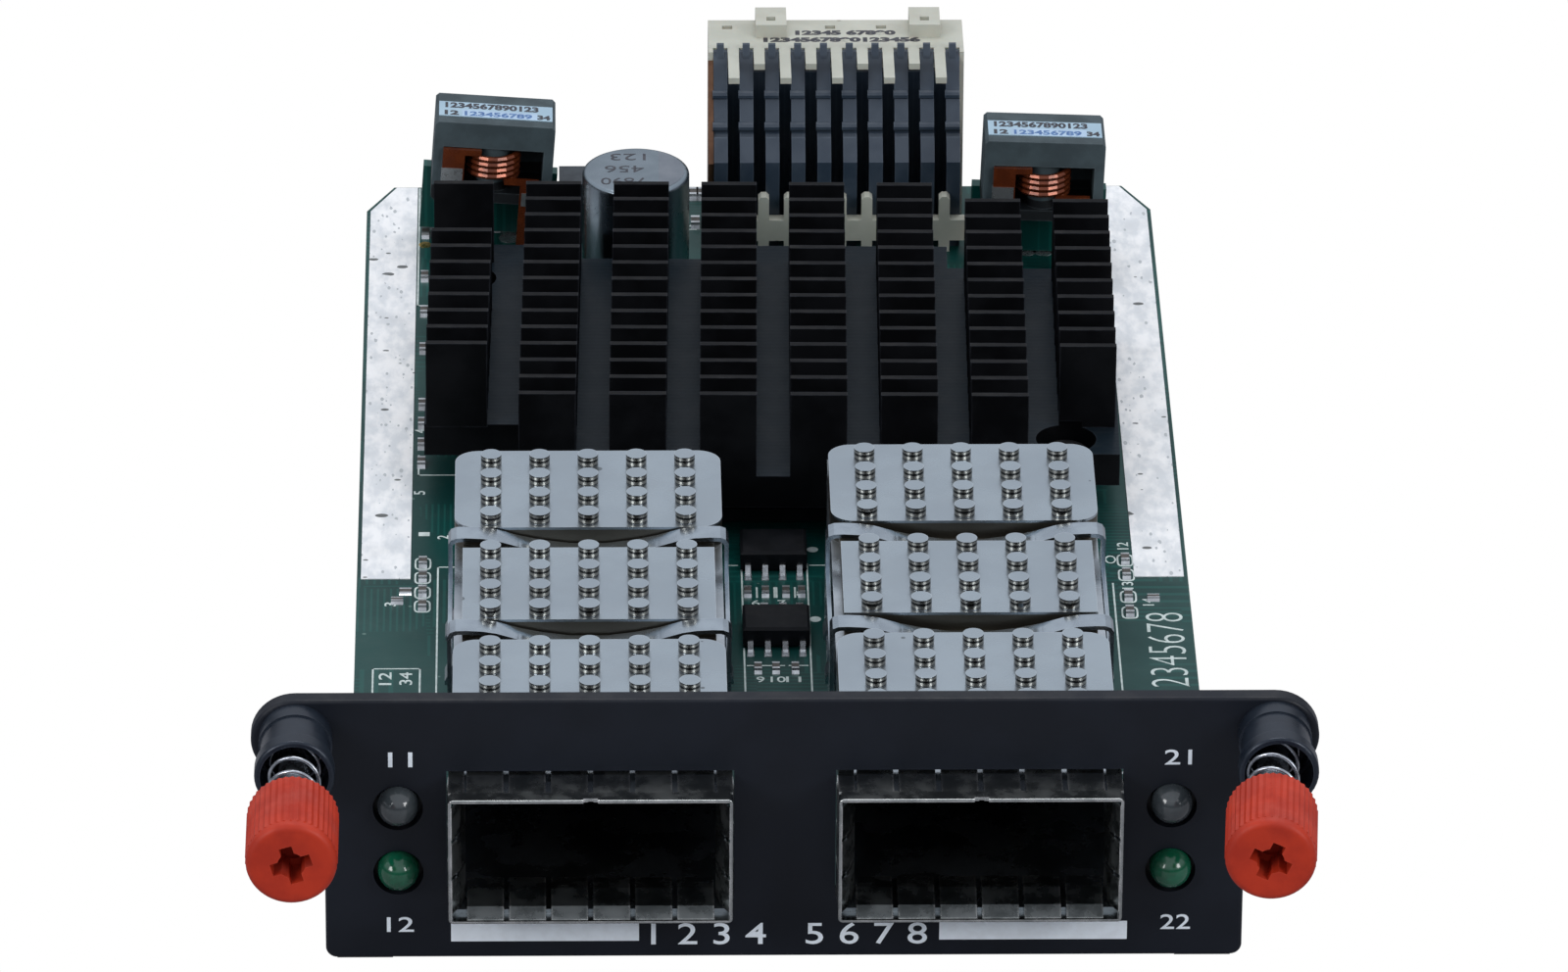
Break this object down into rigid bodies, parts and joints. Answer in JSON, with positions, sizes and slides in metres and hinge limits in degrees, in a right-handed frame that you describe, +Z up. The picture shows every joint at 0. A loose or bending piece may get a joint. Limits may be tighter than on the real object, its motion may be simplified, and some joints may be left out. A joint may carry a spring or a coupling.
{
  "type": "switch line card",
  "caption": "Plug-in uplink card for a network switch: two port cages with riding heat sinks, finned chip cooler, captive thumbscrews and a rear backplane connector.",
  "frame": {"origin": "on the rear face of the front panel, midway between the two ports and at half the panel's height, where the card seats against its chassis", "axes": "+Y from the panel towards the backplane connector, +Z up from the component side of the board, +X to the right as seen from the front"},
  "size_m": [0.0745, 0.1317, 0.0213],
  "materials": {
    "panel_paint": "satin dark blue-black powder coat",
    "ferrule_metal": "dark blue-grey plated metal",
    "screw_steel": "zinc-plated steel",
    "spring_steel": "drawn wire",
    "knob_red": "anodised-looking orange-red",
    "cage_metal": "nickel-plated sheet",
    "gasket_metal": "bright spring sheet",
    "clip_metal": "bright stainless sheet",
    "sink_nickel": "pale nickel plating",
    "sink_black": "black anodised",
    "black_plastic": "moulded black",
    "lens_clear": "clear grey lens",
    "lens_green": "green lens",
    "board_green": "solder-resist green",
    "tin": "mottled tinned copper",
    "chip_black": "moulding compound",
    "lead_tin": "tinned leads",
    "pad_grey": "soft thermal pad",
    "ivory_plastic": "ivory moulding",
    "wafer_plastic": "blue-black moulding",
    "copper": "copper",
    "ferrite": "slate-grey ferrite",
    "label_white": "white label",
    "can_aluminium": "bare can",
    "ceramic": "grey-brown ceramic"
  },
  "bodies": {
    "chassis": {"front_panel": "panel_paint", "screw_ferrules": "ferrule_metal", "left_spring": "spring_steel", "right_spring": "spring_steel", "left_cage": "cage_metal", "right_cage": "cage_metal", "left_gasket": "gasket_metal", "right_gasket": "gasket_metal", "left_port_connector": "black_plastic", "right_port_connector": "black_plastic", "left_clip": "clip_metal", "right_clip": "clip_metal", "lamp_housings": "black_plastic", "link_lenses": "lens_clear", "activity_lenses": "lens_green", "circuit_board": "board_green", "ground_strips": "tin", "standoffs": "screw_steel", "board_screws": "screw_steel", "switch_chip": "chip_black", "thermal_pad": "pad_grey", "main_heatsink": "sink_black", "push_pins": "black_plastic", "pin_springs": "spring_steel", "connector_housing": "ivory_plastic", "connector_wafers": "wafer_plastic", "connector_organizer": "ivory_plastic", "ground_blade": "copper", "connector_tails": "tin", "choke_boards": "board_green", "choke_cores": "ferrite", "choke_coils": "copper", "choke_labels": "label_white", "capacitor_can": "can_aluminium", "capacitor_base": "black_plastic", "small_chips": "chip_black", "small_chip_leads": "lead_tin", "passives": "ceramic", "ceramic_block": "ceramic"},
    "left_washer_body": {"left_washer": "screw_steel"},
    "left_screw_body": {"left_screw": "screw_steel", "left_knob": "knob_red"},
    "right_washer_body": {"right_washer": "screw_steel"},
    "right_screw_body": {"right_screw": "screw_steel", "right_knob": "knob_red"},
    "left_sink_body": {"left_port_sink": "sink_nickel"},
    "right_sink_body": {"right_port_sink": "sink_nickel"}
  },
  "joints": [
    {"name": "left_screw_press", "type": "slide", "parent": "chassis", "child": "left_washer_body", "axis": [0, 1, 0], "range_m": [0, 0.005], "stiffness_N_per_m": 300, "springref_m": -0.001, "deforming": ["left_spring"]},
    {"name": "left_screw_turn", "type": "hinge", "parent": "left_washer_body", "child": "left_screw_body", "pos_m": [-0.0341, -0.0006, 0.00765], "axis": [0, 1, 0], "continuous": true},
    {"name": "right_screw_press", "type": "slide", "parent": "chassis", "child": "right_washer_body", "axis": [0.0663, 0.9978, 0], "range_m": [0, 0.005], "stiffness_N_per_m": 300, "springref_m": -0.001, "deforming": ["right_spring"]},
    {"name": "right_screw_turn", "type": "hinge", "parent": "right_washer_body", "child": "right_screw_body", "pos_m": [0.0341, -0.0006, 0.00765], "axis": [0.0663, 0.9978, 0], "continuous": true},
    {"name": "left_sink_float", "type": "slide", "parent": "chassis", "child": "left_sink_body", "axis": [0, 0, 1], "range_m": [0, 0.0004], "stiffness_N_per_m": 4000, "springref_m": -0.0005, "deforming": ["left_clip"]},
    {"name": "right_sink_float", "type": "slide", "parent": "chassis", "child": "right_sink_body", "axis": [0, 0, 1], "range_m": [0, 0.0004], "stiffness_N_per_m": 4000, "springref_m": -0.0005, "deforming": ["right_clip"]}
  ]
}
